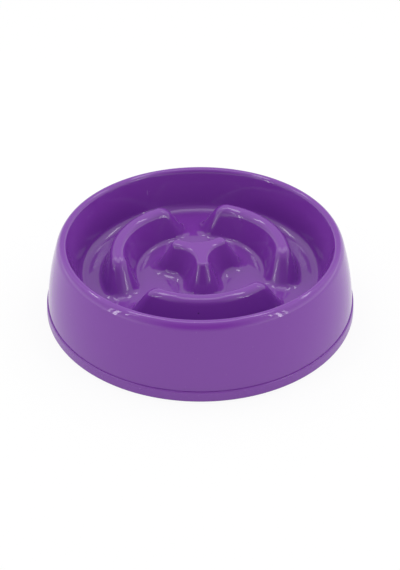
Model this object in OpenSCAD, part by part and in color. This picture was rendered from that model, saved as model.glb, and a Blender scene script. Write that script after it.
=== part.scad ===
// Slow feeder bowl for a medium or large dog.
// A one-piece moulded shell holds the food: a double-walled bowl with a rolled rim, whose floor
// rises into three curved ridges and a three-armed hump that make a maze. A soft ring grips the
// foot of its skirt. The bowl stands on z = 0 with its centre line on the Z axis, and its front
// looks along -Y.

/* [Bowl] */
// Height of the bowl over its rim
bowl_h = 59.8; // [54:0.1:72]
// Outer radius that the skirt would have on the ground
foot_r = 119; // [114:0.5:126]
// Radius of the rim's centre line
rim_r = 103.6; // [101:0.1:106]
// Radius of the rolled rim's round
rim_round = 3.9; // [3.3:0.1:4.4]
// Radius of the arc that bulges the skirt
skirt_arc = 212; // [180:2:600]
// Thickness of the moulded wall
wall = 2.6; // [2:0.1:3]
// Height of the basin's floor above the ground
floor_h = 26; // [20:0.5:30]
// Draft of the basin's wall, in degrees from upright
basin_draft = 15; // [10:0.5:18]
// Radius of the cove between the basin's wall and floor
cove_r = 8; // [5:0.5:10]

/* [Ridges] */
// Number of curved ridges in the ring round the hump
ridge_count = 3; // [2:1:3]
// Turn of the maze round the centre line, in degrees
maze_turn = 5.8; // [-30:0.1:30]
// Radius of the circle that the crests follow
ridge_r = 63; // [61:0.5:64]
// Height of a crest above the floor
ridge_h = 24.2; // [16:0.1:25]
// Half the width of a ridge on the floor
ridge_half_w = 13.2; // [12:0.1:14]
// Gap between neighbouring ridges on the floor, along the crest circle
gate_w = 12; // [10:0.5:40]
// Draft of a ridge's long sides, in degrees from upright
ridge_draft = 20; // [14:0.5:22]
// Slope of a ridge's ends, in degrees from upright
ridge_end_draft = 34.5; // [25:0.5:40]
// Radius of the round along a crest
ridge_round = 5.4; // [2.5:0.1:5.4]
// Radius of the round where a crest turns down at its ends
ridge_end_round = 10; // [4:0.5:12]
// Radius of a ridge's end corners in plan, as a share of its half width at each height
ridge_corner_share = 0.92; // [0.3:0.01:0.95]

/* [Hump] */
// Height of the centre hump above the floor
hump_h = 23.9; // [16:0.1:26]
// Distance from the centre line to the middle of each scalloped side, level with the hump's top
notch_r = 9.5; // [8:0.1:12]
// Radius of a scalloped side's arc, level with the hump's top
scallop_top_r = 44; // [40:0.5:48]
// Distance from the centre line to an arm's end, level with the hump's top
arm_reach = 21; // [17:0.1:23]
// Draft of the scalloped sides, in degrees from upright
hump_draft = 20; // [12:0.5:24]
// Slope of the arms' ends, in degrees from upright
arm_draft = 30; // [20:0.5:34]
// Radius of the round along the hump's top edge
hump_round = 3; // [1.5:0.1:3.4]
// Radius of an arm's corners in plan, as a share of its end's half width at each height
arm_corner_share = 0.75; // [0.3:0.01:0.9]

/* [Feet of the maze] */
// Radius of the fillet where the sides of the ridges and of the hump meet the floor
foot_fillet = 4; // [2:0.1:5]
// Radius of the fillet at the foot of a ridge's ends
ridge_end_fillet = 8; // [4:0.5:10]
// Radius of the fillet at the foot of an arm's end
arm_fillet = 6; // [3:0.5:8]

/* [Non-slip ring] */
// Height of the lip round the outside of the skirt
lip_h = 8.5; // [6:0.1:10]
// Amount by which the lip stands out from the skirt
lip_proud = 0.9; // [0.6:0.1:1.4]
// Radius of the round along the lip's top edge
lip_round = 0.7; // [0.4:0.1:0.8]
// Radius of the round along the ring's lower outer edge
tread_round = 1.4; // [0.8:0.1:1.8]
// Thickness of the pad under the skirt's foot
pad_t = 2; // [1.6:0.1:3]
// Depth of the step in the skirt that the outer lip lies in
step_in = 0.8; // [0.4:0.1:1]
// Thickness of the lip inside the skirt
inner_lip_t = 1.6; // [1.2:0.1:2.4]
// Height of the lip inside the skirt above its bead
inner_lip_over = 2.4; // [1.6:0.1:4]
// Height of the bead's centre above the outer lip
bead_above = 2; // [1.4:0.1:3]
// Radius of the groove for that bead
bead_r = 0.6; // [0.4:0.1:0.8]
// Clearance between the ring's lips and the skirt
ring_fit = 0.1; // [0.05:0.05:0.2]

/* [Hidden] */
$fn = 180;

// Depth by which a cut runs past what it cuts
overrun = 1;
// Depth by which the foot of a ridge or of the hump is set into the floor
sink = 0.2;
// Least radius left on the rounds inside the hollow maze
hollow_round = 0.8;
// Least half width left along a crest, an arm's end or the top of a hollow
least_half_w = 0.5;
// Steps along each kind of curve
rim_steps = 14;
skirt_steps = 10;
step_steps = 3;
edge_steps = 6;
cove_steps = 8;
bend_steps = 18;
corner_steps = 4;
scallop_steps = 8;
fillet_steps = 3;
round_steps = 4;
// Number of the hump's arms, one behind the middle of each ridge
arm_count = 3;

// Centre of the rim's round, in the profile's radius and height
rim_c = [rim_r, bowl_h - rim_round];
// Centre of the skirt's arc, which passes the foot and touches the rim's round
foot_p = [foot_r, 0];
foot_to_rim = rim_c - foot_p;
span = norm(foot_to_rim);
arc_along = (pow(skirt_arc, 2) - pow(skirt_arc - rim_round, 2) + pow(span, 2)) / (2 * span);
arc_off = sqrt(pow(skirt_arc, 2) - pow(arc_along, 2));
skirt_c = foot_p + foot_to_rim / span * arc_along
    + [-foot_to_rim.y, foot_to_rim.x] / span * arc_off;
skirt_top_a = atan2(rim_c.y - skirt_c.y, rim_c.x - skirt_c.x);
// Centre of the cove
cove_c = [
    rim_r - (rim_round + cove_r) / cos(basin_draft)
        - (rim_c.y - floor_h - cove_r) * tan(basin_draft),
    floor_h + cove_r
];
// Top of the step that the ring's outer lip lies in
step_top = lip_h + ring_fit;
// Heights of the ring's bead and of the top of its inner lip
bead_z = lip_h + bead_above;
inner_lip_h = bead_z + bead_r + inner_lip_over;
// Half the length of a ridge on the floor, along the crest circle
ridge_half_len = PI * ridge_r / ridge_count - gate_w / 2;
// Centre of the scalloped side next to the first arm
arm_half_a = 180 / arm_count;
scallop_c = (notch_r + scallop_top_r) * [cos(arm_half_a), sin(arm_half_a)];

// Bearing, from the skirt's centre, of the skirt at height z, under a wall of depth t
function skirt_a(z, t) = asin((z - skirt_c.y) / (skirt_arc - t));

// Radius of the skirt at height z, under a wall of depth t
function skirt_x(z, t) = skirt_c.x + (skirt_arc - t) * cos(skirt_a(z, t));

// Point of the profile at height z, at depth t under the skirt's face
function skirt_p(z, t) = [skirt_x(z, t), z];

// Points of an arc in n steps, from bearing a0 to bearing a1
function arc(c, r, a0, a1, n) =
    [for (i = [0:n]) let (a = a0 + (a1 - a0) * i / n) c + r * [cos(a), sin(a)]];

// Points along the skirt in n steps, from height z0 to height z1, at depth t under its face
function beside(z0, z1, t, n) = arc(skirt_c, skirt_arc - t, skirt_a(z0, t), skirt_a(z1, t), n);

// The bowl's profile from height z up the skirt, over the rim and down to the floor, at depth t
function bowl_line(z, t) = concat(
    arc(skirt_c, skirt_arc - t, skirt_a(z, t), skirt_top_a, skirt_steps),
    arc(rim_c, rim_round - t, skirt_top_a, 180 - basin_draft, rim_steps),
    arc(cove_c, cove_r + t, -basin_draft, -90, cove_steps),
    [[0, floor_h - t]]
);

function reversed(list) = [for (i = [len(list) - 1:-1:0]) list[i]];

// A raised face is given as its draft, the radius of its foot fillet and that of its top round.
// Inward reach and rise of a circle of radius r where it turns into a face with that draft
function turn_in(r, draft) = r * tan((90 - draft) / 2);
function turn_up(r, draft) = r * (1 - sin(draft));

// Inward lean of a raised face at height z above its foot, where its top is at height top
function lean(z, face, top) = let (draft = face[0], low = face[1], high = face[2])
    z < turn_up(low, draft)
        ? sqrt(max(0, pow(low, 2) - pow(z - low, 2))) - turn_in(low, draft)
    : z > top - turn_up(high, draft)
        ? top * tan(draft) + turn_in(high, draft)
            - sqrt(max(0, pow(high, 2) - pow(z - top + high, 2)))
    : z * tan(draft);

// Heights at which a raised form with those two faces is drawn, closer where they are rounded
function levels(side, end, top) = let (
    low = max(turn_up(side[1], side[0]), turn_up(end[1], end[0])),
    high = max(turn_up(side[2], side[0]), turn_up(end[2], end[0])),
    foot = low > 0 ? [for (i = [0:fillet_steps]) low * pow(i / fillet_steps, 2)] : [0]
) concat(foot, [for (i = [0:round_steps]) top - high * pow(1 - i / round_steps, 2)]);

// The face of a hollow that lies a wall inside a raised face: no fillet, and a smaller round
function inner_face(face) = [face[0], 0, max(hollow_round, face[2] - wall)];

// Outset, at its own foot, of a hollow's face from the raised face's foot
function outset(draft) = (wall + overrun) * tan(draft) - wall / cos(draft);

// A face whose top round is limited by the half width that it leaves at the top
function limited(face, half_w, top) = let (
    room = half_w - top * tan(face[0]) - least_half_w
) [face[0], face[1], min(face[2], max(0, room) / turn_in(1, face[0]))];

// Outline of a bar with rounded corners, half_len by half_w, as [along, across]: one side from
// end to end in bends steps, and then the other side back
function bar_outline(half_len, half_w, bends) = let (
    c = ridge_corner_share * half_w,
    run = half_len - c,
    side = concat(
        [for (i = [0:corner_steps - 1]) let (a = 180 - 90 * i / corner_steps)
            [-run + c * cos(a), half_w - c + c * sin(a)]],
        [for (i = [0:bends]) [run * (2 * i / bends - 1), half_w]],
        [for (i = [1:corner_steps]) let (a = 90 - 90 * i / corner_steps)
            [run + c * cos(a), half_w - c + c * sin(a)]]
    )
) concat(side, [for (p = reversed(side)) [p.x, -p.y]]);

// That outline bent round the crest circle, at height z; reach along the circle turns clockwise
function bent(outline, z) = [
    for (p = outline) let (a = -p.x / ridge_r * 180 / PI, r = ridge_r + p.y)
        [r * cos(a), r * sin(a), z]
];

// Outline of the star at height z, with scallops of radius scallop_r and arms of length reach.
// Half an arm is its end, an arc that rounds its corner and the arc of a scalloped side; the
// arm ends where the two scallops beside it would leave it too thin.
function star(scallop_r, reach, z) = let (
    thin = pow(scallop_r, 2) - pow(scallop_c.y - least_half_w, 2),
    tip = thin > 0 ? min(reach, scallop_c.x - sqrt(thin)) : reach,
    tip_w = scallop_c.y - sqrt(pow(scallop_r, 2) - pow(tip - scallop_c.x, 2)),
    corner = arm_corner_share * tip_w,
    hub_x = tip - corner,
    hub_y = scallop_c.y - sqrt(pow(scallop_r + corner, 2) - pow(hub_x - scallop_c.x, 2)),
    toward = atan2(scallop_c.y - hub_y, scallop_c.x - hub_x),
    up = concat(
        [[tip, 0]],
        arc([hub_x, hub_y], corner, 0, toward, corner_steps),
        [for (i = [1:scallop_steps])
            let (a = 180 + toward + (arm_half_a - toward) * i / scallop_steps)
            scallop_c + scallop_r * [cos(a), sin(a)]]
    ),
    down = [for (i = [len(up) - 2:-1:1]) let (p = up[i], a = 2 * arm_half_a)
        [p.x * cos(a) + p.y * sin(a), p.x * sin(a) - p.y * cos(a)]]
) [
    for (k = [0:arm_count - 1]) for (p = concat(up, down)) let (a = 2 * arm_half_a * k)
        [p.x * cos(a) - p.y * sin(a), p.x * sin(a) + p.y * cos(a), z]
];

// Faces of the end of a stack of outlines of n points from index at: a strip across a bar, or a
// fan round a hub
function strip_end(at, n) = [
    for (i = [0:n / 2 - 2]) let (j = n - 1 - i)
        each [[at + i, at + i + 1, at + j - 1], [at + i, at + j - 1, at + j]]
];
function fan_end(at, n, hub) = [for (i = [0:n - 1]) [hub, at + i, at + (i + 1) % n]];

// A closed solid through a stack of outlines with the same number of points, which run clockwise
// seen from above where clockwise is 1. A fan closes the ends of one that goes round the axis.
module loft(outlines, clockwise, fan) {
    n = len(outlines[0]);
    m = len(outlines);
    top = (m - 1) * n;
    hubs = fan ? [[0, 0, outlines[0][0].z], [0, 0, outlines[m - 1][0].z]] : [];
    sides = [
        for (j = [0:m - 2]) for (i = [0:n - 1])
            let (k = (i + 1) % n, a = j * n + i, b = j * n + k, c = b + n, d = a + n)
            each [[a, c, b], [a, d, c]]
    ];
    low_end = fan ? fan_end(0, n, m * n) : strip_end(0, n);
    high_end = fan ? fan_end(top, n, m * n + 1) : strip_end(top, n);
    faces = concat(sides, low_end, [for (f = high_end) reversed(f)]);
    polyhedron(
        concat([for (o = outlines) for (p = o) p], hubs),
        clockwise ? [for (f = faces) reversed(f)] : faces,
        convexity = 6
    );
}

// The faces of the ridges and of the hump
ridge_side = limited([ridge_draft, foot_fillet, ridge_round], ridge_half_w, ridge_h + sink);
ridge_end = [ridge_end_draft, ridge_end_fillet, ridge_end_round];
hump_side = [hump_draft, foot_fillet, hump_round];
hump_arm = [arm_draft, arm_fillet, hump_round];

// The solid of one ridge, from just under the floor
module ridge() {
    top = ridge_h + sink;
    function ring(z) = bent(
        bar_outline(
            ridge_half_len - lean(z, ridge_end, top),
            ridge_half_w - lean(z, ridge_side, top),
            bend_steps
        ),
        floor_h - sink + z
    );
    loft([for (z = levels(ridge_side, ridge_end, top)) ring(z)], true, false);
}

// The hollow under one ridge, which leaves its wall and ends where its sides would meet
module ridge_hollow() {
    half_w = ridge_half_w + outset(ridge_draft);
    half_len = ridge_half_len + outset(ridge_end_draft);
    top = min(ridge_h + overrun, (half_w - least_half_w) / tan(ridge_draft));
    side = limited(inner_face(ridge_side), half_w, top);
    end = inner_face(ridge_end);
    function ring(z) = bent(
        bar_outline(half_len - lean(z, end, top), half_w - lean(z, side, top), bend_steps / 2),
        floor_h - wall - overrun + z
    );
    loft([for (z = levels(side, end, top)) ring(z)], true, false);
}

// The solid of the hump, from just under the floor
module hump() {
    top = hump_h + sink;
    scallop_r = scallop_top_r - top * tan(hump_draft);
    reach = arm_reach + top * tan(arm_draft);
    function ring(z) = star(
        scallop_r + lean(z, hump_side, top),
        reach - lean(z, hump_arm, top),
        floor_h - sink + z
    );
    loft([for (z = levels(hump_side, hump_arm, top)) ring(z)], false, true);
}

// The hollow under the hump
module hump_hollow() {
    top = hump_h + overrun;
    side = inner_face(hump_side);
    arm = inner_face(hump_arm);
    scallop_r = scallop_top_r - hump_h * tan(hump_draft) - outset(hump_draft);
    reach = arm_reach + hump_h * tan(arm_draft) + outset(arm_draft);
    function ring(z) = star(
        scallop_r + lean(z, side, top),
        reach - lean(z, arm, top),
        floor_h - wall - overrun + z
    );
    loft([for (z = levels(side, arm, top)) ring(z)], false, true);
}

// Places its children at each ridge
module at_ridges() {
    for (k = [0:ridge_count - 1])
        rotate([0, 0, 270 + maze_turn + 360 * k / ridge_count])
            children();
}

// The shell's profile, cut for the ring's lip and bead
module shell_profile() {
    difference() {
        polygon(concat(
            beside(pad_t, step_top, step_in, step_steps),
            bowl_line(step_top, 0),
            reversed(bowl_line(pad_t, wall))
        ));
        translate(skirt_p(bead_z, wall))
            circle(r = bead_r);
    }
}

// The moulded shell: rim, basin, maze and skirt in one wall
module bowl_shell() {
    color([0.46, 0.24, 0.62])
    difference() {
        union() {
            rotate_extrude()
                shell_profile();
            at_ridges()
                ridge();
            rotate([0, 0, 270 + maze_turn])
                hump();
        }
        at_ridges()
            ridge_hollow();
        rotate([0, 0, 270 + maze_turn])
            hump_hollow();
    }
}

// The ring's profile: a channel round the skirt's foot, locked by a bead
module ring_profile() {
    depth = wall + ring_fit;
    tread_in = tread_round - lip_proud;
    lip_in = lip_round - lip_proud;
    lip_low = lip_h - lip_round;
    union() {
        polygon(concat(
            arc(skirt_p(tread_round, tread_in), tread_round, -90, skirt_a(tread_round, tread_in), edge_steps),
            arc(skirt_p(lip_low, lip_in), lip_round, skirt_a(lip_low, lip_in), 90, edge_steps),
            beside(lip_h, pad_t, step_in - ring_fit, step_steps),
            beside(pad_t, inner_lip_h, depth, skirt_steps),
            beside(inner_lip_h, 0, depth + inner_lip_t, skirt_steps)
        ));
        translate(skirt_p(bead_z, wall))
            circle(r = bead_r - ring_fit);
    }
}

// The soft ring that grips the skirt's foot and keeps the bowl from sliding
module non_slip_ring() {
    color([0.43, 0.27, 0.58])
    rotate_extrude()
        ring_profile();
}

bowl_shell();
non_slip_ring();
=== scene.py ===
"""Looks of the slow feeder bowl: a moulded shell with a maze in its basin, and a soft foot ring.

Every mesh is worked out in millimetres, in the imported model's own frame, and put into Blender in
metres. The shell and the ring take the places of the CAD nodes bowl_shell and non_slip_ring.
"""

import logging
import math
from dataclasses import dataclass, field
from enum import Enum

import bmesh
import bpy
import numpy as np
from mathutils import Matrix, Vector
from mathutils.geometry import delaunay_2d_cdt


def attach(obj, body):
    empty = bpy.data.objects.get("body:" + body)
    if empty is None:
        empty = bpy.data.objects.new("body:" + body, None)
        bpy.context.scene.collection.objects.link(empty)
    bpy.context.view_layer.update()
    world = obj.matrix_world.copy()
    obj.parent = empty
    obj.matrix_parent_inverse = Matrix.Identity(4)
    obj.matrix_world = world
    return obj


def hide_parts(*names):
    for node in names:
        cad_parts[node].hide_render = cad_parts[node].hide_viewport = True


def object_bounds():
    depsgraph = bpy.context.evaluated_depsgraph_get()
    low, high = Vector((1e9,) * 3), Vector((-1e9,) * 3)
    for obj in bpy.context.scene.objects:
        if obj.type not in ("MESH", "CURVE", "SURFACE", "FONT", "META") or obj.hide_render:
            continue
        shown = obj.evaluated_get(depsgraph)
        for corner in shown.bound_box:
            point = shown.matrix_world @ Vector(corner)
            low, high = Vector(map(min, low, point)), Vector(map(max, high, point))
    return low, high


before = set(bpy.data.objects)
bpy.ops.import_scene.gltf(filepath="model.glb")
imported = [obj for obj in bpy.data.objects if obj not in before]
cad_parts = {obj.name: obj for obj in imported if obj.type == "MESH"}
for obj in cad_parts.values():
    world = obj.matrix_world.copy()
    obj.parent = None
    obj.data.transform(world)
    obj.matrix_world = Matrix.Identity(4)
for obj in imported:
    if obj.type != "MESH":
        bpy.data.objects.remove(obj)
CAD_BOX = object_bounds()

LOG = logging.getLogger("slow_feeder_bowl")
MM = 0.001
MERGE = 1e-7
WHITE = (1.0, 1.0, 1.0, 1.0)
LAMP_AIM = (0.0, 0.0, 0.03)


def arc(centre: np.ndarray, radius: float, start: float, stop: float, steps: int) -> np.ndarray:
    """Points of an arc: centre plus radius times the cosine and sine of evenly spaced bearings.

    Args:
        centre: the arc's centre, as radius and height.
        radius: its radius.
        start: the first bearing, in degrees.
        stop: the last bearing, in degrees.
        steps: how many steps lie between them.

    Returns:
        An array of steps + 1 points.
    """
    a = np.radians(np.linspace(start, stop, steps + 1))
    return np.stack([centre[0] + radius * np.cos(a), centre[1] + radius * np.sin(a)], axis=1)


def line(start: np.ndarray, stop: np.ndarray, pitch: float) -> np.ndarray:
    """Points inside a straight run: its start plus even shares of the way to its stop.

    Args:
        start: the run's first end.
        stop: its other end.
        pitch: about how far the points lie apart.

    Returns:
        The points between the two ends, without them.
    """
    start, stop = np.asarray(start, float), np.asarray(stop, float)
    count = max(1, int(round(np.linalg.norm(stop - start) / pitch)))
    t = np.arange(1, count)[:, None] / count
    return start + (stop - start) * t


def revolve(profile: np.ndarray, segments: int) -> np.ndarray:
    """Carries a profile round the Z axis: x and y are its radius times a turn's cosine and sine.

    Args:
        profile: points as radius and height.
        segments: steps in the turn.

    Returns:
        A grid of points, one row for each profile point and one column for each bearing.
    """
    a = np.linspace(0.0, 2.0 * np.pi, segments, endpoint=False)
    r, z = profile[:, 0, None], profile[:, 1, None]
    return np.stack([r * np.cos(a), r * np.sin(a), z + 0.0 * a], axis=2)


def turned_flat(points: np.ndarray, angle: float) -> np.ndarray:
    """Turns flat points about the origin, which multiplies them by the usual rotation matrix.

    Args:
        points: an array whose last axis holds x and y.
        angle: the turn, in radians.

    Returns:
        An array of the same shape.
    """
    c, s = math.cos(angle), math.sin(angle)
    x, y = points[..., 0], points[..., 1]
    return np.stack([c * x - s * y, s * x + c * y], axis=-1)


def turned(points: np.ndarray, degrees: float) -> np.ndarray:
    """Points turned about the Z axis by an angle in degrees, each at its own height."""
    flat = turned_flat(points[..., :2], math.radians(degrees))
    return np.concatenate([flat, points[..., 2:]], axis=-1)


def inside(points: np.ndarray, loop: np.ndarray) -> np.ndarray:
    """Which points lie inside a loop, by counting how often a ray along X crosses its edges.

    Args:
        points: the points to test.
        loop: the loop's points in order.

    Returns:
        True for each point that lies inside.
    """
    x, y = points[:, 0, None], points[:, 1, None]
    a, b = loop[:, :2], np.roll(loop[:, :2], -1, axis=0)
    spans = (a[:, 1] > y) != (b[:, 1] > y)
    rise = np.where(b[:, 1] == a[:, 1], 1.0, b[:, 1] - a[:, 1])
    crossing = a[:, 0] + (y - a[:, 1]) * (b[:, 0] - a[:, 0]) / rise
    return (spans & (x < crossing)).sum(axis=1) % 2 == 1


class Surface:
    """Collects patches of points and faces, and joins them into one closed mesh."""

    def __init__(self) -> None:
        """Starts with no points."""
        self.points: list[np.ndarray] = []
        self.faces: list[list[int]] = []
        self.count = 0

    def _add(self, points: np.ndarray, faces: np.ndarray) -> None:
        """Adds a patch.

        Args:
            points: the patch's points, in any grid.
            faces: its faces, whose corners count from the first of these points.
        """
        flat = points.reshape(-1, 3)
        self.points.append(flat)
        self.faces.extend((faces + self.count).tolist())
        self.count += len(flat)

    def grid(self, points: np.ndarray, closed: bool = True) -> None:
        """Adds the quads between neighbouring points of a grid.

        Args:
            points: an array of rows by columns by 3.
            closed: whether the last column joins the first.
        """
        rows, columns = points.shape[:2]
        index = np.arange(rows * columns).reshape(rows, columns)
        ahead = np.roll(index, -1, axis=1)
        if not closed:
            index, ahead = index[:, :-1], ahead[:, :-1]
        quads = np.stack([index[:-1], ahead[:-1], ahead[1:], index[1:]], axis=2)
        self._add(points, quads.reshape(-1, 4))

    def fan(self, loop: np.ndarray) -> None:
        """Closes a loop with triangles round a hub on its mean point.

        Args:
            loop: a loop of points that the hub sees whole.
        """
        n = len(loop)
        i = np.arange(n)
        hub = np.append(loop, loop.mean(axis=0)[None], axis=0)
        self._add(hub, np.stack([i, (i + 1) % n, np.full(n, n)], axis=1))

    def web(self, rim: np.ndarray, holes: list[np.ndarray]) -> None:
        """Fills the flat space between a rim and the loops that stand in it with triangles.

        Args:
            rim: the outer loop.
            holes: the loops that stay open.
        """
        loops = [rim] + holes
        flat = np.concatenate(loops)
        edges, first = [], 0
        for loop in loops:
            i = np.arange(len(loop))
            edges.extend(np.stack([first + i, first + (i + 1) % len(loop)], axis=1).tolist())
            first += len(loop)
        corners = [Vector(p) for p in flat[:, :2].tolist()]
        found = delaunay_2d_cdt(corners, edges, [], 1, MERGE)
        points = np.array([tuple(p) for p in found[0]])
        triangles = np.array([f for f in found[2] if len(f) == 3])
        middle = points[triangles].mean(axis=1)
        keep = inside(middle, rim)
        for hole in holes:
            keep &= ~inside(middle, hole)
        height = np.full(len(points), rim[0, 2])
        self._add(np.column_stack([points, height]), triangles[keep])

    def build(self, name: str) -> bpy.types.Object:
        """Makes the mesh object, in metres, with doubles merged and faces turned outward.

        Args:
            name: the object's name.

        Returns:
            The new object, linked to the scene.
        """
        mesh = bpy.data.meshes.new(name)
        mesh.from_pydata((np.concatenate(self.points) * MM).tolist(), [], self.faces)
        work = bmesh.new()
        work.from_mesh(mesh)
        bmesh.ops.remove_doubles(work, verts=work.verts, dist=MERGE)
        bmesh.ops.recalc_face_normals(work, faces=work.faces)
        work.to_mesh(mesh)
        work.free()
        mesh.polygons.foreach_set("use_smooth", np.ones(len(mesh.polygons), dtype=bool))
        piece = bpy.data.objects.new(name, mesh)
        bpy.context.scene.collection.objects.link(piece)
        return piece


@dataclass(frozen=True)
class BowlProfile:
    """Sizes of the revolved wall, in millimetres, with drafts in degrees from upright."""

    height: float
    foot_r: float = 119.0
    rim_r: float = 104.0
    rim_round: float = 3.3
    shoulder: float = 14.0
    shoulder_top: float = 38.0
    skirt_arc: float = 212.0
    wall: float = 2.6
    floor_h: float = 26.0
    basin_draft: float = 15.3
    cove_r: float = 8.0
    pad_t: float = 2.0
    lip_h: float = 8.5
    step_in: float = 0.8
    step_edge: float = 0.06
    lip_gap: float = 0.02
    bead_above: float = 2.0
    bead_r: float = 0.6
    ring_fit: float = 0.1
    pitch: float = 1.5
    guard: float = 0.35
    groove_reach: float = 84.0
    groove_steps: int = 8
    step_steps: int = 5
    shoulder_steps: int = 10
    outer_steps: tuple = (30, 20)
    inner_steps: tuple = (12, 16)

    @property
    def rim_c(self) -> np.ndarray:
        """Centre of the rim's round."""
        return np.array([self.rim_r, self.height - self.rim_round])

    @property
    def shoulder_c(self) -> np.ndarray:
        """Centre of the shoulder's arc.

        Returns:
            A point behind the rim's centre, along the bearing at which the two arcs touch.
        """
        bearing = math.radians(self.shoulder_top)
        behind = self.shoulder - self.rim_round
        return self.rim_c - behind * np.array([math.cos(bearing), math.sin(bearing)])

    @property
    def skirt_c(self) -> np.ndarray:
        """Centre of the skirt's arc.

        Returns:
            The point where a circle about the foot crosses one about the shoulder's centre. Their
            radii are the skirt's, and the skirt's less the shoulder's.
        """
        foot = np.array([self.foot_r, 0.0])
        across = self.shoulder_c - foot
        span = float(np.linalg.norm(across))
        near, far = self.skirt_arc, self.skirt_arc - self.shoulder
        along = (near**2 - far**2 + span**2) / (2.0 * span)
        off = math.sqrt(near**2 - along**2)
        unit = across / span
        return foot + unit * along + np.array([-unit[1], unit[0]]) * off

    @property
    def cove_c(self) -> np.ndarray:
        """Centre of the cove.

        Returns:
            The point that lies a cove radius away from both the wall and the floor.
        """
        draft = math.radians(self.basin_draft)
        drop = self.rim_c[1] - self.floor_h - self.cove_r
        in_from_rim = (self.rim_round + self.cove_r) / math.cos(draft) + drop * math.tan(draft)
        return np.array([self.rim_r - in_from_rim, self.floor_h + self.cove_r])

    @property
    def step_top(self) -> float:
        """Height of the step over the ring's lip."""
        return self.lip_h + self.lip_gap

    @property
    def bead_z(self) -> float:
        """Height of the bead that locks the ring to the skirt."""
        return self.lip_h + self.bead_above

    def skirt_bearing(self, z: float, depth: float) -> float:
        """Bearing of the skirt's point at height z, in degrees, under a wall of that depth."""
        return math.degrees(math.asin((z - self.skirt_c[1]) / (self.skirt_arc - depth)))

    def skirt_x(self, z: float, depth: float) -> float:
        """Radius of the skirt at height z, under a wall of that depth."""
        bearing = math.radians(self.skirt_bearing(z, depth))
        return float(self.skirt_c[0] + (self.skirt_arc - depth) * math.cos(bearing))

    def at(self, z: float, depth: float) -> np.ndarray:
        """The profile's point at height z, at that depth under the skirt's face."""
        return np.array([self.skirt_x(z, depth), z])

    def beside(self, low: float, high: float, depth: float, steps: int) -> np.ndarray:
        """A run along the skirt from one height to another, at that depth under its face."""
        start, stop = self.skirt_bearing(low, depth), self.skirt_bearing(high, depth)
        return arc(self.skirt_c, self.skirt_arc - depth, start, stop, steps)

    def skirt(self, low: float, depth: float) -> np.ndarray:
        """The skirt's arc up to the shoulder, and the shoulder's arc up to the rim.

        Args:
            low: the height at which it starts.
            depth: how far it lies under the outer face.

        Returns:
            Points as radius and height.
        """
        across = self.shoulder_c - self.skirt_c
        top = math.degrees(math.atan2(across[1], across[0]))
        start = self.skirt_bearing(low, depth)
        steps = int(math.radians(top - start) * self.skirt_arc / self.pitch)
        rise = arc(self.skirt_c, self.skirt_arc - depth, start, top, steps)
        turn = arc(self.shoulder_c, self.shoulder - depth, top, self.shoulder_top,
                   self.shoulder_steps)
        return np.concatenate([rise, turn[1:]])

    def over_the_rim(self, low: float, depth: float, steps: tuple) -> np.ndarray:
        """The wall's line from the skirt, over the rim, down the basin and round the cove.

        Args:
            low: the height on the skirt at which it starts.
            depth: how far it lies under the outer face.
            steps: steps round the rim, and steps round the cove.

        Returns:
            Points as radius and height, which end in a short flat stretch of floor.
        """
        skirt = self.skirt(low, depth)
        inner = 180.0 - self.basin_draft
        rim = arc(self.rim_c, self.rim_round - depth, self.shoulder_top, inner, steps[0])
        cove = arc(self.cove_c, self.cove_r + depth, -self.basin_draft, -90.0, steps[1])
        floor = cove[-1] - [[self.guard, 0.0]]
        return np.concatenate([skirt, rim[1:], line(rim[-1], cove[0], self.pitch), cove, floor])

    def outer_line(self) -> np.ndarray:
        """The shell's outer face, from the foot over the ring's step to the basin's floor.

        Returns:
            Points as radius and height.
        """
        edge, top, third = self.step_edge, self.step_top, self.step_edge / 3.0
        face = self.beside(self.pad_t, top - edge, self.step_in, self.step_steps)
        ledge = np.array([
            self.at(top - third, self.step_in - third),
            self.at(top, self.step_in - edge),
            self.at(top, edge),
            self.at(top + third, third),
        ])
        rest = self.over_the_rim(top + edge, 0.0, self.outer_steps)
        return np.concatenate([face, ledge, rest])

    def inner_line(self) -> np.ndarray:
        """The shell's hidden face, with the groove that the ring's bead lies in.

        Returns:
            Points as radius and height.
        """
        middle, reach = self.skirt_x(self.bead_z, self.wall), self.groove_reach
        centre = np.array([middle, self.bead_z])
        groove = arc(centre, self.bead_r, -reach, reach, self.groove_steps)
        foot = self.skirt_x(self.pad_t, self.wall)
        below = line((foot, self.pad_t), groove[0], self.pitch)
        rest = self.over_the_rim(self.bead_z + self.bead_r, self.wall, self.inner_steps)
        return np.concatenate([[[foot, self.pad_t]], below, groove, rest])


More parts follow.
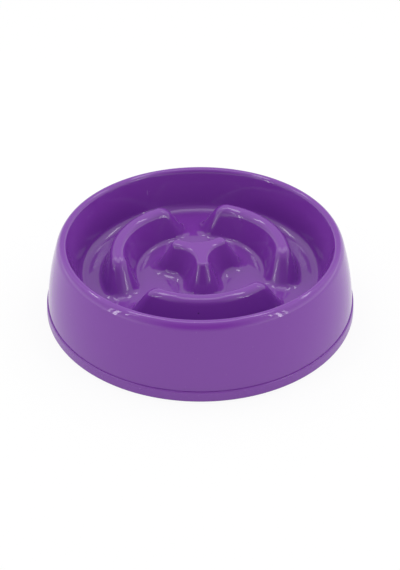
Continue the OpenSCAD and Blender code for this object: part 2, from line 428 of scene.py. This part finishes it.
@dataclass(frozen=True)
class Face:
    """A raised face: draft in degrees from upright, foot fillet and top round in millimetres."""

    draft: float
    fillet: float
    round_r: float

    @property
    def angle(self) -> float:
        """The draft in radians."""
        return math.radians(self.draft)

    @property
    def fillet_h(self) -> float:
        """Height over which the fillet turns into the face."""
        return self.fillet * (1.0 - math.sin(self.angle))

    @property
    def round_h(self) -> float:
        """Height over which the face turns into the top."""
        return self.round_r * (1.0 - math.sin(self.angle))

    def lean(self, z: np.ndarray, height: float) -> np.ndarray:
        """How far the face has leaned in at height z.

        A circle of the fillet's radius joins the floor to the face, the face climbs at its draft,
        and a circle of the round's radius joins it to the top.

        Args:
            z: heights above the foot.
            height: height of the top.

        Returns:
            The lean at each height.
        """
        slope = math.tan(self.angle)
        half = math.tan((math.pi / 2.0 - self.angle) / 2.0)
        foot = np.sqrt(np.maximum(0.0, self.fillet**2 - (z - self.fillet) ** 2))
        foot = foot - self.fillet * half
        over = z - height + self.round_r
        top = height * slope + self.round_r * half
        top = top - np.sqrt(np.maximum(0.0, self.round_r**2 - over**2))
        lean = np.where(z < self.fillet_h, foot, z * slope)
        return np.where(z > height - self.round_h, top, lean)

    def hollow(self, wall: float, mouth: float, least: float) -> "Face":
        """The face a wall's thickness inside this one: the same draft with smaller rounds."""
        return Face(self.draft, mouth, max(least, self.round_r - wall))


@dataclass(frozen=True)
class Raised:
    """A form that stands on the floor: its height, its two faces and its fineness."""

    height: float
    side: Face
    end: Face
    guard: float
    fillet_steps: int = 8
    side_steps: int = 8
    round_steps: int = 10

    def levels(self) -> np.ndarray:
        """Heights of the levels: squares of even steps on the fillets and on the rounds.

        Returns:
            Heights above the foot, which lie closer together towards the foot and the top.
        """
        low = max(self.side.fillet_h, self.end.fillet_h)
        high = max(self.side.round_h, self.end.round_h)
        foot = low * np.linspace(0.0, 1.0, self.fillet_steps + 1) ** 2
        top = self.height - high * np.linspace(1.0, 0.0, self.round_steps + 1) ** 2
        side = np.linspace(foot[-1], top[0], self.side_steps + 1)[1:-1]
        return np.concatenate([foot, side, top])


@dataclass(frozen=True)
class Ridge:
    """A bar bent round the crest circle, in millimetres, with drafts in degrees from upright."""

    crest_r: float = 63.0
    height: float = 24.2
    half_w: float = 13.2
    half_len: float = 60.0
    side: Face = Face(20.0, 4.0, 6.0)
    end: Face = Face(34.0, 8.0, 15.0)
    corner_share: float = 0.92
    guard: float = 0.35
    bends: int = 56
    corner_steps: int = 7
    end_steps: int = 6

    def outline(self, half_len: np.ndarray, half_w: np.ndarray, corner: np.ndarray) -> np.ndarray:
        """One long side of a bar with rounded corners, at each level.

        Args:
            half_len: half the bar's length at each level.
            half_w: half its width at each level.
            corner: radius of its corners at each level.

        Returns:
            An array of levels by points by 2, as distances along and across the bar.
        """
        a = np.linspace(np.pi, np.pi / 2.0, self.corner_steps, endpoint=False)
        s = np.linspace(-1.0, 1.0, self.bends + 1)
        b = np.pi - a[::-1]
        c, run, top = corner[:, None], (half_len - corner)[:, None], half_w[:, None]
        along = np.concatenate([-run + c * np.cos(a), run * s, run + c * np.cos(b)], axis=1)
        flat = top + 0.0 * s
        across = np.concatenate([top - c + c * np.sin(a), flat, top - c + c * np.sin(b)], axis=1)
        return np.stack([along, across], axis=2)

    def bent(self, flat: np.ndarray, z: np.ndarray) -> np.ndarray:
        """Bends points round the crest circle: distance along becomes an arc, across a radius.

        Args:
            flat: points as distances along and across the bar.
            z: their heights.

        Returns:
            The points with x, y and z.
        """
        a = -flat[..., 0] / self.crest_r
        r = self.crest_r + flat[..., 1]
        return np.stack([r * np.cos(a), r * np.sin(a), z + 0.0 * a], axis=-1)

    def loft(self, raised: Raised, base: float, shrink: float) -> tuple:
        """The ridge's faces, as a stack of outlines from the floor up and a flat crest.

        Args:
            raised: its height and rounds.
            base: the height of its foot.
            shrink: how much narrower than the ridge it is all round, for the hollow.

        Returns:
            The grid of levels, and the grid that closes its top.
        """
        z = raised.levels()
        side = raised.side.lean(z, raised.height) + shrink / math.cos(raised.side.angle)
        end = raised.end.lean(z, raised.height) + shrink / math.cos(raised.end.angle)
        z = np.insert(z, 0, 0.0)
        side = np.insert(side, 0, side[0] - raised.guard)
        end = np.insert(end, 0, end[0] - raised.guard)
        half_w = self.half_w - side
        near = self.outline(self.half_len - end, half_w, self.corner_share * half_w)
        across = near * [1.0, -1.0]
        t = np.linspace(0.0, 1.0, self.end_steps + 1)[None, :, None]
        far_end = near[:, -1:] * (1.0 - t) + across[:, -1:] * t
        near_end = across[:, :1] * (1.0 - t) + near[:, :1] * t
        loop = np.concatenate([near, far_end[:, 1:-1], across[:, ::-1], near_end[:, 1:-1]], axis=1)
        levels = self.bent(loop, (base + z)[:, None])
        u = t[0, :, 0][None, :, None]
        crest = near[-1][:, None] * (1.0 - u) + across[-1][:, None] * u
        return levels, self.bent(crest, base + z[-1])


@dataclass(frozen=True)
class Hump:
    """The three-armed centre hump, in millimetres, with drafts in degrees from upright."""

    height: float = 23.9
    arm_half_w: float = 4.0
    notch_round: float = 24.0
    arm_reach: float = 22.0
    side: Face = Face(22.0, 8.0, 3.5)
    end: Face = Face(30.0, 8.0, 3.5)
    corner_share: float = 0.9
    guard: float = 0.35
    arms: int = 3
    end_steps: int = 3
    corner_steps: int = 8
    side_steps: int = 6
    notch_steps: int = 12

    def star(self, half_w: np.ndarray, notch: np.ndarray, reach: np.ndarray) -> np.ndarray:
        """The hump's outline at each level.

        Half an arm is a straight end, an arc that rounds its corner, a side along the arm and half
        of the arc that rounds the notch. The notch's circle touches the sides of two arms, so its
        centre lies half an arm's width and its own radius beside each arm's middle line.

        Args:
            half_w: half an arm's width at each level.
            notch: radius of the notches at each level.
            reach: distance from the centre line to the arms' ends at each level.

        Returns:
            An array of levels by points by 2.
        """
        half = math.pi / self.arms
        w, top, far = half_w[:, None], (half_w + notch)[:, None], reach[:, None]
        c = self.corner_share * w
        s = np.linspace(0.0, 1.0, self.end_steps, endpoint=False)
        end = np.stack([far + 0.0 * s, (w - c) * s], axis=2)
        a = np.linspace(0.0, math.pi / 2.0, self.corner_steps, endpoint=False)
        turn = np.stack([far - c + c * np.cos(a), w - c + c * np.sin(a)], axis=2)
        s = np.linspace(0.0, 1.0, self.side_steps, endpoint=False)
        deep = top / math.tan(half)
        side = np.stack([(far - c) * (1.0 - s) + deep * s, w + 0.0 * s], axis=2)
        a = np.linspace(1.5 * math.pi, math.pi + half, self.notch_steps + 1)
        r = notch[:, None]
        pit = np.stack([deep + r * np.cos(a), top + r * np.sin(a)], axis=2)
        near = np.concatenate([end, turn, side, pit], axis=1)
        far_side = (near * [1.0, -1.0])[:, -2:0:-1]
        arm = np.concatenate([near, turned_flat(far_side, 2.0 * half)], axis=1)
        star = [turned_flat(arm, 2.0 * half * k) for k in range(self.arms)]
        return np.concatenate(star, axis=1)

    def loft(self, raised: Raised, base: float, shrink: float) -> tuple:
        """The hump's faces, as a stack of outlines from the floor up and a last flat loop.

        Args:
            raised: its height and rounds.
            base: the height of its foot.
            shrink: how much narrower than the hump it is all round, for the hollow.

        Returns:
            The grid of levels, and the loop that a fan closes.
        """
        z = raised.levels()
        side = raised.side.lean(z, raised.height) - self.height * math.tan(raised.side.angle)
        arm = raised.end.lean(z, raised.height) - self.height * math.tan(raised.end.angle)
        side = side + shrink / math.cos(raised.side.angle)
        arm = arm + shrink / math.cos(raised.end.angle)
        z = np.concatenate([[0.0], z, z[-1:]])
        side = np.concatenate([[side[0] - raised.guard], side, [side[-1] + raised.guard]])
        arm = np.concatenate([[arm[0] - raised.guard], arm, [arm[-1] + raised.guard]])
        loops = self.star(self.arm_half_w - side, self.notch_round + side, self.arm_reach - arm)
        heights = np.broadcast_to((base + z)[:, None, None], loops.shape[:2] + (1,))
        levels = np.concatenate([loops, heights], axis=2)
        return levels, levels[-1]


class Sock:
    """A number in a shader: arithmetic on it adds Math nodes."""

    def __init__(self, shader: "Shader", value: object) -> None:
        """Wraps an output socket of that shader."""
        self.shader = shader
        self.value = value

    def _math(self, operation: str, *values: object) -> "Sock":
        """One Math node on these values."""
        return self.shader.node("ShaderNodeMath", {"operation": operation}, values)

    def __add__(self, other: object) -> "Sock":
        """This plus other."""
        return self._math("ADD", self, other)

    __radd__ = __add__

    def __mul__(self, other: object) -> "Sock":
        """This times other."""
        return self._math("MULTIPLY", self, other)

    __rmul__ = __mul__

    def __sub__(self, other: object) -> "Sock":
        """This less other."""
        return self._math("SUBTRACT", self, other)

    def __rsub__(self, other: object) -> "Sock":
        """Other less this."""
        return self._math("SUBTRACT", other, self)

    def rises(self, low: float, high: float) -> "Sock":
        """0 where this is under low, 1 where it is over high, and a smooth step between."""
        settings = {"interpolation_type": "SMOOTHSTEP"}
        return self.shader.node("ShaderNodeMapRange", settings, (self, low, high, 0.0, 1.0))


class Shader:
    """A node tree, with one method that adds any node."""

    def __init__(self, name: str, tree: bpy.types.NodeTree | None = None) -> None:
        """Empties a tree.

        Args:
            name: name of the new material whose tree is taken where no tree is given.
            tree: the tree to use.
        """
        self.material = None
        if tree is None:
            self.material = bpy.data.materials.new(name)
            self.material.use_nodes = True
            tree = self.material.node_tree
        self.tree = tree
        self.tree.nodes.clear()

    def surface(self, shader: "Sock") -> bpy.types.Material | None:
        """Shows a shader on the tree's output.

        Args:
            shader: the closure to show.

        Returns:
            The material, or nothing for a world's tree.
        """
        kind = "ShaderNodeOutputMaterial" if self.material else "ShaderNodeOutputWorld"
        output = self.tree.nodes.new(kind)
        self.tree.links.new(shader.value, output.inputs["Surface"])
        return self.material

    def node(self, kind: str, settings: dict, values: object, output: int | str = 0) -> Sock:
        """Adds a node.

        Args:
            kind: the node's type.
            settings: its own settings, which are set first.
            values: values or links of its inputs, in a tuple by place or a dict by name.
            output: the output that is wanted, by place or name.

        Returns:
            That output.
        """
        made = self.tree.nodes.new(kind)
        for key, value in settings.items():
            setattr(made, key, value)
        pairs = values.items() if isinstance(values, dict) else enumerate(values)
        for key, value in pairs:
            if isinstance(value, Sock):
                self.tree.links.new(value.value, made.inputs[key])
            else:
                made.inputs[key].default_value = value
        return Sock(self, made.outputs[output])

    def noise(self, place: Sock, scale: float, detail: float, roughness: float = 0.5) -> Sock:
        """Fractal noise on a place, from 0 to 1, with scale features to the metre."""
        values = {"Vector": place, "Scale": scale, "Detail": detail, "Roughness": roughness}
        return self.node("ShaderNodeTexNoise", {}, values)

    def blend(self, share: Sock, low: Sock | tuple, high: tuple) -> Sock:
        """Mixes two colours.

        Args:
            share: how much of high shows, from 0 to 1.
            low: a colour, or another blend.
            high: a colour.

        Returns:
            The mixed colour.
        """
        start = low if isinstance(low, Sock) else (*low, 1.0)
        # A Mix node keeps its colours at inputs 6 and 7, and its mixed colour at output 2.
        values = {0: share, 6: start, 7: (*high, 1.0)}
        return self.node("ShaderNodeMix", {"data_type": "RGBA"}, values, 2)


@dataclass(frozen=True)
class Mark:
    """A small mark laid into a skin's colour, a speck or a painted highlight: middle and half
    sizes in millimetres, colour and strength.
    """

    middle: tuple
    half: tuple
    colour: tuple
    strength: float


@dataclass(frozen=True)
class MouldedPlastic:
    """A moulded skin: its colours, its gloss and the fine relief that moulding and use leave."""

    name: str
    colour: tuple = (0.185, 0.035, 0.336)
    pale: tuple = (0.193, 0.038, 0.345)
    dust: tuple = (0.42, 0.30, 0.56)
    smooth: float = 0.03
    rough: float = 0.07
    scuffed: float = 0.16
    ior: float = 1.55
    flow_scale: float = 14.0
    flow_detail: float = 3.0
    haze_scale: float = 70.0
    haze_detail: float = 4.0
    haze_roughness: float = 0.6
    sink_scale: float = 22.0
    sink_height: float = 2.5e-5
    peel_scale: float = 650.0
    peel_height: float = 1.2e-6
    grain_scale: float = 5000.0
    grain_height: float = 2e-7
    scratch_scale: float = 40.0
    scratch_thin: float = 45.0
    scratch_peaks: tuple = (0.66, 0.74)
    scratch_turns: tuple = (0.7, 2.4)
    scratch_depth: float = 6e-7
    dust_scale: float = 900.0
    dust_peaks: tuple = (0.78, 0.84)
    dust_share: float = 0.5
    dust_rough: float = 0.2
    mark_edge: float = 0.4
    marks: tuple = ()

    def scratches(self, shader: Shader, place: Sock, turn: float) -> Sock:
        """Fine hairlines of one direction: noise drawn out along it, kept where it peaks.

        Args:
            shader: the tree to add to.
            place: the place on the piece.
            turn: the hairlines' direction, as a turn in radians.

        Returns:
            1 on a hairline and 0 beside it.
        """
        drawn = shader.node("ShaderNodeMapping", {}, {
            "Vector": place,
            "Rotation": (turn, turn / 2.0, turn),
            "Scale": (1.0, self.scratch_thin, self.scratch_thin),
        })
        return shader.noise(drawn, self.scratch_scale, 2.0).rises(*self.scratch_peaks)

    def marked(self, shader: Shader, place: Sock, colour: Sock) -> Sock:
        """Lays the marks, specks and painted highlights, over a colour, each as a soft ellipsoid
        round its middle.

        Args:
            shader: the tree to add to.
            place: the place on the piece.
            colour: the colour without marks.

        Returns:
            The colour with them.
        """
        for mark in self.marks:
            squeezed = shader.node("ShaderNodeMapping", {"vector_type": "TEXTURE"}, {
                "Vector": place,
                "Location": tuple(v * MM for v in mark.middle),
                "Scale": tuple(v * MM for v in mark.half),
            })
            length = {"operation": "LENGTH"}
            away = shader.node("ShaderNodeVectorMath", length, (squeezed,), "Value")
            share = (1.0 - away.rises(self.mark_edge, 1.0)) * mark.strength
            colour = shader.blend(share, colour, mark.colour)
        return colour

    def material(self) -> bpy.types.Material:
        """Builds the finish.

        Flow marks, dust and the marks, a speck and a painted highlight, show in the colour, haze
        and hairlines in the gloss, and sinks, orange peel, grain and hairlines in the relief.

        Returns:
            The new material.
        """
        shader = Shader(self.name)
        place = shader.node("ShaderNodeTexCoord", {}, (), "Object")
        flow = shader.noise(place, self.flow_scale, self.flow_detail)
        haze = shader.noise(place, self.haze_scale, self.haze_detail, self.haze_roughness)
        one_way, other_way = (self.scratches(shader, place, t) for t in self.scratch_turns)
        hairs = one_way + other_way
        specks = shader.noise(place, self.dust_scale, 1.0).rises(*self.dust_peaks)
        colour = shader.blend(flow, self.colour, self.pale)
        colour = shader.blend(specks * self.dust_share, colour, self.dust)
        colour = self.marked(shader, place, colour)
        rough = haze * (self.rough - self.smooth) + self.smooth
        rough = rough + hairs * (self.scuffed - self.rough) + specks * self.dust_rough
        relief = shader.noise(place, self.sink_scale, 1.0) * self.sink_height
        relief = relief + shader.noise(place, self.peel_scale, 2.0) * self.peel_height
        relief = relief + shader.noise(place, self.grain_scale, 2.0) * self.grain_height
        relief = relief - hairs * self.scratch_depth
        values = {"Strength": 1.0, "Distance": 1.0, "Height": relief}
        bump = shader.node("ShaderNodeBump", {}, values)
        skin = shader.node("ShaderNodeBsdfPrincipled", {}, {
            "Base Color": colour,
            "Roughness": rough,
            "Normal": bump,
            "IOR": self.ior,
        })
        return shader.surface(skin)


@dataclass
class Maze:
    """The ridges and the hump, and how they are set on the floor."""

    wall: float
    floor_h: float
    turn: float = 5.8
    ridge_count: int = 3
    mouth: float = 1.2
    hollow_round: float = 1.0
    hump_guard: float = 0.09
    hollow_steps: tuple = (4, 6, 6)
    ridge: Ridge = field(default_factory=Ridge)
    hump: Hump = field(default_factory=Hump)

    def bearings(self) -> list[float]:
        """Bearing of each ridge's middle, in degrees."""
        return [270.0 + self.turn + 360.0 * k / self.ridge_count for k in range(self.ridge_count)]

    def _add(self, surface: Surface, forms: tuple, base: float, shrink: float) -> list[np.ndarray]:
        """Adds the faces of every ridge and of the hump, turned to their bearings.

        Args:
            surface: what collects the shell's faces.
            forms: the heights and rounds of a ridge and of the hump.
            base: the height of their feet.
            shrink: how much narrower they are all round.

        Returns:
            The loops of their feet.
        """
        ridge_form, hump_form = forms
        feet = []
        levels, crest = self.ridge.loft(ridge_form, base, shrink)
        for bearing in self.bearings():
            surface.grid(turned(levels, bearing))
            surface.grid(turned(crest, bearing), closed=False)
            feet.append(turned(levels[0], bearing))
        levels, crown = self.hump.loft(hump_form, base, shrink)
        front = self.bearings()[0]
        surface.grid(turned(levels, front))
        surface.fan(turned(crown, front))
        feet.append(turned(levels[0], front))
        return feet

    def add_top(self, surface: Surface) -> list[np.ndarray]:
        """Adds the raised faces to a surface.

        Args:
            surface: what collects the shell's faces.

        Returns:
            The loops where they meet the floor.
        """
        forms = tuple(Raised(f.height, f.side, f.end, f.guard) for f in (self.ridge, self.hump))
        return self._add(surface, forms, self.floor_h, 0.0)

    def add_hollows(self, surface: Surface) -> list[np.ndarray]:
        """Adds the hollows under the ridges and the hump, a wall's thickness inside them.

        Args:
            surface: what collects the shell's faces.

        Returns:
            The loops where they open in the floor's underside.
        """
        forms = []
        for form, guard in ((self.ridge, self.ridge.guard), (self.hump, self.hump_guard)):
            faces = (form.side, form.end)
            inner = [f.hollow(self.wall, self.mouth, self.hollow_round) for f in faces]
            forms.append(Raised(form.height, *inner, guard, *self.hollow_steps))
        down = self.wall * math.tan(self.ridge.side.angle)
        return self._add(surface, tuple(forms), self.floor_h - self.wall, self.wall - down)


@dataclass
class Piece:
    """A piece that takes the place of a CAD node on the bowl's one body."""

    profile: BowlProfile
    finish: MouldedPlastic
    segments: int = 256
    node: str = ""
    slot: str = ""

    def dress(self, piece: bpy.types.Object) -> bpy.types.Object:
        """Gives the piece its finish and its node's place and body.

        Args:
            piece: the new mesh object.

        Returns:
            The same object.
        """
        piece.data.materials.append(self.finish.material())
        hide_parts(self.node)
        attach(piece, "root")
        return piece


@dataclass
class BowlShell(Piece):
    """The moulded shell: rim, basin, maze and skirt in one wall."""

    node: str = "bowl_shell"
    slot: str = "shell"

    def build(self) -> bpy.types.Object:
        """Builds the shell's mesh: two revolved faces, two webs, and the maze between them.

        Returns:
            The dressed piece.
        """
        profile = self.profile
        maze = Maze(profile.wall, profile.floor_h)
        surface = Surface()
        outer = revolve(profile.outer_line(), self.segments)
        inner = revolve(profile.inner_line(), self.segments)
        surface.grid(outer)
        surface.grid(inner)
        surface.grid(np.stack([outer[0], inner[0]]))
        surface.web(outer[-1], maze.add_top(surface))
        surface.web(inner[-1], maze.add_hollows(surface))
        return self.dress(surface.build("moulded_shell"))


@dataclass
class FootRing(Piece):
    """The soft ring round the skirt's foot: a channel with a lip each side and a bead."""

    lip_proud: float = 0.9
    lip_round: float = 0.85
    tread_round: float = 1.4
    inner_lip_over: float = 2.4
    inner_lip_t: float = 1.6
    face_pitch: float = 1.0
    round_steps: int = 8
    step_steps: int = 4
    beneath_steps: int = 6
    bead_reach: float = 75.0
    bead_steps: int = 6
    above_steps: int = 3
    inner_steps: int = 10
    node: str = "non_slip_ring"
    slot: str = "ring"

    def line(self) -> np.ndarray:
        """The ring's profile, from the ground up its outer lip, over its bead and back down.

        Returns:
            Points as radius and height.
        """
        p, tread_r, lip_r = self.profile, self.tread_round, self.lip_round
        lip_top = p.lip_h - lip_r
        tread_face = p.skirt_bearing(tread_r, tread_r - self.lip_proud)
        tread_c = p.at(tread_r, tread_r - self.lip_proud)
        tread = arc(tread_c, tread_r, -90.0, tread_face, self.round_steps)
        lip_face = p.skirt_bearing(lip_top, lip_r - self.lip_proud)
        lip_c = p.at(lip_top, lip_r - self.lip_proud)
        lip = arc(lip_c, lip_r, lip_face, 90.0, self.round_steps)
        outer = np.concatenate([tread, line(tread[-1], lip[0], self.face_pitch), lip])
        step = p.beside(p.lip_h, p.pad_t, p.step_in - p.ring_fit, self.step_steps)
        depth, reach = p.wall + p.ring_fit, self.bead_reach
        high = p.bead_z + p.bead_r + self.inner_lip_over
        beneath = p.beside(p.pad_t, p.bead_z - p.bead_r, depth, self.beneath_steps)
        bead_c = p.at(p.bead_z, p.wall)
        bead = arc(bead_c, p.bead_r - p.ring_fit, -reach, reach, self.bead_steps)
        above = p.beside(p.bead_z + p.bead_r, high, depth, self.above_steps)
        inner = p.beside(high, 0.0, depth + self.inner_lip_t, self.inner_steps)
        return np.concatenate([outer, step, beneath, bead, above, inner])

    def build(self) -> bpy.types.Object:
        """Builds the ring's mesh by carrying its profile round the axis and closing it.

        Returns:
            The dressed piece.
        """
        profile = self.line()
        surface = Surface()
        surface.grid(revolve(np.concatenate([profile, profile[:1]]), self.segments))
        return self.dress(surface.build("foot_ring"))


class Lamp(Enum):
    """The studio's lamps: place and size in metres, and power in watts."""

    TOP = ((0.0, 0.0, 1.3), (0.6, 0.6), 1.6)
    HIGH_LEFT = ((-0.35, 0.25, 1.14), (0.6, 0.14), 0.9)
    HIGH_RIGHT = ((0.35, 0.25, 1.14), (0.6, 0.14), 0.85)
    STRIP_LEFT = ((-0.62, 0.5, 1.02), (0.6, 0.08), 0.65)
    STRIP_RIGHT = ((0.62, 0.5, 1.02), (0.6, 0.08), 0.6)
    TALL_LEFT = ((-1.0, -0.72, 0.85), (0.03, 0.7), 0.4)
    TALL_RIGHT = ((1.0, -0.78, 0.85), (0.03, 0.7), 0.4)
    LEFT = ((-1.1, -0.62, 0.35), (0.06, 0.6), 0.7)
    LEFT_AGAIN = ((-1.16, -0.53, 0.35), (0.04, 0.5), 0.2)
    RIGHT = ((1.07, -0.71, 0.35), (0.06, 0.6), 0.7)
    RIGHT_AGAIN = ((1.13, -0.61, 0.35), (0.04, 0.5), 0.2)
    BACK = ((0.0, 1.5, 0.5), (1.6, 0.6), 0.33)

    def light(self) -> None:
        """Hangs this lamp, turned towards the bowl."""
        place, size, power = self.value
        data = bpy.data.lights.new(self.name.lower() + "_lamp", "AREA")
        data.shape = "RECTANGLE"
        data.size, data.size_y = size
        data.energy = power
        lamp = bpy.data.objects.new(data.name, data)
        lamp.location = place
        toward = Vector(LAMP_AIM) - Vector(place)
        lamp.rotation_euler = toward.to_track_quat("-Z", "Y").to_euler()
        bpy.context.scene.collection.objects.link(lamp)


class Lobe(Enum):
    """Soft light from the room: its axis, the cosines between which it rises, and its strength."""

    TOP = ((0.0, 0.0, 1.0), 0.3, 0.95, 0.55)
    HIGH = ((0.0, 0.7071, 0.7071), 0.5, 0.95, 0.52)
    GLANCE = ((0.0, 0.81, 0.587), 0.9, 0.99, 0.06)
    LEFT = ((-1.0, 0.0, 0.0), 0.2, 0.9, 0.97)
    RIGHT = ((1.0, 0.0, 0.0), 0.2, 0.9, 1.04)
    HORIZON = ((0.0, 0.0, -1.0), -0.35, 0.0, 0.72)


@dataclass
class Studio:
    """The floor, the world, the lamps and the camera."""

    skirt_r: float
    floor_half: float = 4.0
    floor_colour: tuple = (0.9, 0.9, 0.9)
    white_share: float = 0.88
    white_to: tuple = ("Camera", "Glossy", "Transmission")
    away: float = 7.0
    tilt: float = 36.032
    aim_h: float = 0.1197
    focal_px: float = 1067.29
    image_h: float = 570.0
    axis_left_px: float = -0.22
    sensor: float = 36.0

    def floor(self) -> None:
        """Lays a wide pale floor under the bowl."""
        far = self.floor_half
        mesh = bpy.data.meshes.new("studio_floor")
        corners = [(-far, -far, 0.0), (far, -far, 0.0), (far, far, 0.0), (-far, far, 0.0)]
        mesh.from_pydata(corners, [], [(0, 1, 2, 3)])
        floor = bpy.data.objects.new("studio_floor", mesh)
        bpy.context.scene.collection.objects.link(floor)
        shader = Shader("studio_floor")
        paint = shader.node("ShaderNodeBsdfDiffuse", {}, {"Color": (*self.floor_colour, 1.0)})
        white = shader.node("ShaderNodeEmission", {}, {"Color": WHITE, "Strength": 1.0})
        rays = [f"Is {ray} Ray" for ray in self.white_to]
        seen = [shader.node("ShaderNodeLightPath", {}, (), ray) for ray in rays]
        share = sum(seen[1:], seen[0]) * self.white_share
        mixed = shader.node("ShaderNodeMixShader", {}, (share, paint, white))
        mesh.materials.append(shader.surface(mixed))

    def world(self) -> None:
        """Fills the room with soft light, a sum of lobes, and shows it white to the camera."""
        world = bpy.data.worlds.new("studio")
        world.use_nodes = True
        room = Shader(world.name, world.node_tree)
        toward = room.node("ShaderNodeTexCoord", {}, (), "Generated")
        strength = 0.0
        for lobe in Lobe:
            axis, low, high, power = lobe.value
            product = {"operation": "DOT_PRODUCT"}
            cosine = room.node("ShaderNodeVectorMath", product, (toward, axis), "Value")
            strength = cosine.rises(low, high) * power + strength
        seen = room.node("ShaderNodeLightPath", {}, (), "Is Camera Ray")
        strength = strength * (1.0 - seen) + seen
        room.surface(room.node("ShaderNodeBackground", {}, {"Color": WHITE, "Strength": strength}))
        bpy.context.scene.world = world

    def camera(self) -> None:
        """Sets the camera at the photograph's height, tilt and distance.

        The image is taller than wide, so the sensor's size is that of its height.
        """
        data = bpy.data.cameras.new("camera")
        data.sensor_width = self.sensor
        data.lens = self.focal_px / self.image_h * self.sensor
        data.shift_x = self.axis_left_px / self.image_h
        camera = bpy.data.objects.new("camera", data)
        tilt = math.radians(self.tilt)
        back = self.away * math.cos(tilt) * self.skirt_r
        up = (self.aim_h + self.away * math.sin(tilt)) * self.skirt_r
        camera.location = (0.0, -back, up)
        camera.rotation_euler = (math.pi / 2.0 - tilt, 0.0, 0.0)
        bpy.context.scene.collection.objects.link(camera)
        bpy.context.scene.camera = camera

    def build(self) -> None:
        """Sets up the whole studio."""
        self.camera()
        self.floor()
        self.world()
        for lamp in Lamp:
            lamp.light()
        bpy.context.scene.view_settings.view_transform = "Standard"


def main() -> None:
    """Builds the studio and the two pieces."""
    logging.basicConfig(level=logging.INFO, format="%(name)s: %(message)s")
    height = CAD_BOX[1].z / MM
    profile = BowlProfile(height)
    Studio(profile.foot_r * MM).build()
    on_the_front_ridge = Mark(
        middle=(-1.2, -70.8, 40.7), half=(0.8, 0.8, 0.8), colour=(0.03, 0.01, 0.05), strength=0.8)
    # A pale upright streak on the basin's back wall, laid into the colour: a painted highlight, a
    # lamp's reflection.
    painted_highlight_on_back_wall = Mark(
        middle=(-43.7, 86.8, 46.2), half=(0.9, 1.5, 4.0), colour=(0.36, 0.20, 0.52), strength=0.35)
    gloss = MouldedPlastic("gloss_plastic", marks=(on_the_front_ridge, painted_highlight_on_back_wall))
    rubber = MouldedPlastic(
        "soft_rubber", smooth=0.22, rough=0.3, scuffed=0.34, scratch_depth=2e-7)
    shell = BowlShell(profile, gloss)
    ring = FootRing(profile, rubber)
    for part in (shell, ring):
        piece = part.build()
        LOG.info("%s: %d faces", piece.name, len(piece.data.polygons))


if __name__ == "__main__":
    main()
